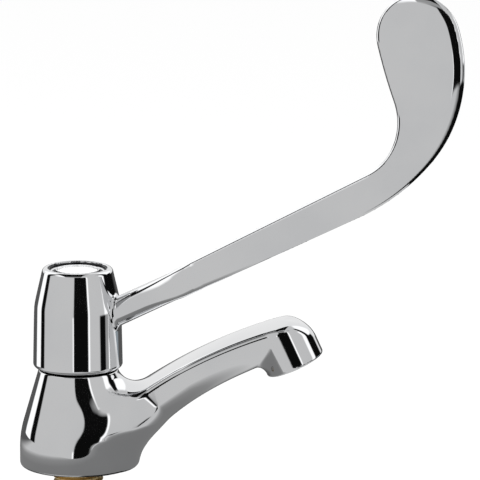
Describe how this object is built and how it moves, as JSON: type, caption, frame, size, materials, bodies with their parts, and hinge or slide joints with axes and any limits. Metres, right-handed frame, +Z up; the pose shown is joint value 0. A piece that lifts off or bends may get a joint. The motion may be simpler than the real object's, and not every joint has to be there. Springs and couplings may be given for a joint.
{
  "type": "basin tap",
  "caption": "Chromed pillar basin tap with a raised spout and a long elbow lever: a round rod that flattens into a rounded paddle.",
  "frame": {"origin": "centre of the base's underside, on the axis that the lever turns about", "axes": "+Z up out of the deck, +X along the spout, +Y to the spout's left"},
  "size_m": [0.1859, 0.0854, 0.2635],
  "materials": {
    "chrome": "polished",
    "brass": "turned",
    "steel": "zinc plated",
    "rubber": "matt",
    "white_plastic": "glossy",
    "nylon": "natural",
    "ceramic": "lapped"
  },
  "bodies": {
    "tap": {"tap_body": "chrome", "inlet_tail": "brass", "base_gasket": "rubber", "rubber_washer": "rubber", "steel_washer": "steel", "backnut": "brass", "headwork_body": "brass", "headwork_gasket": "rubber", "disc_seal": "rubber", "fixed_disc": "ceramic", "thrust_washer": "nylon", "aerator_housing": "chrome", "aerator_insert": "nylon", "aerator_seal": "rubber"},
    "handle": {"lever_handle": "chrome", "spline_bush": "nylon", "handle_screw": "steel", "screw_washer": "steel", "index_ring": "chrome", "index_disc": "white_plastic", "spindle": "brass", "spindle_o_ring_lower": "rubber", "spindle_o_ring_upper": "rubber", "spindle_circlip": "steel", "moving_disc": "ceramic"}
  },
  "joints": [
    {"name": "handle_turn", "type": "hinge", "parent": "tap", "child": "handle", "pos_m": [0, 0, 0.05], "axis": [0, 0, 1], "range_deg": [0, 90]}
  ]
}
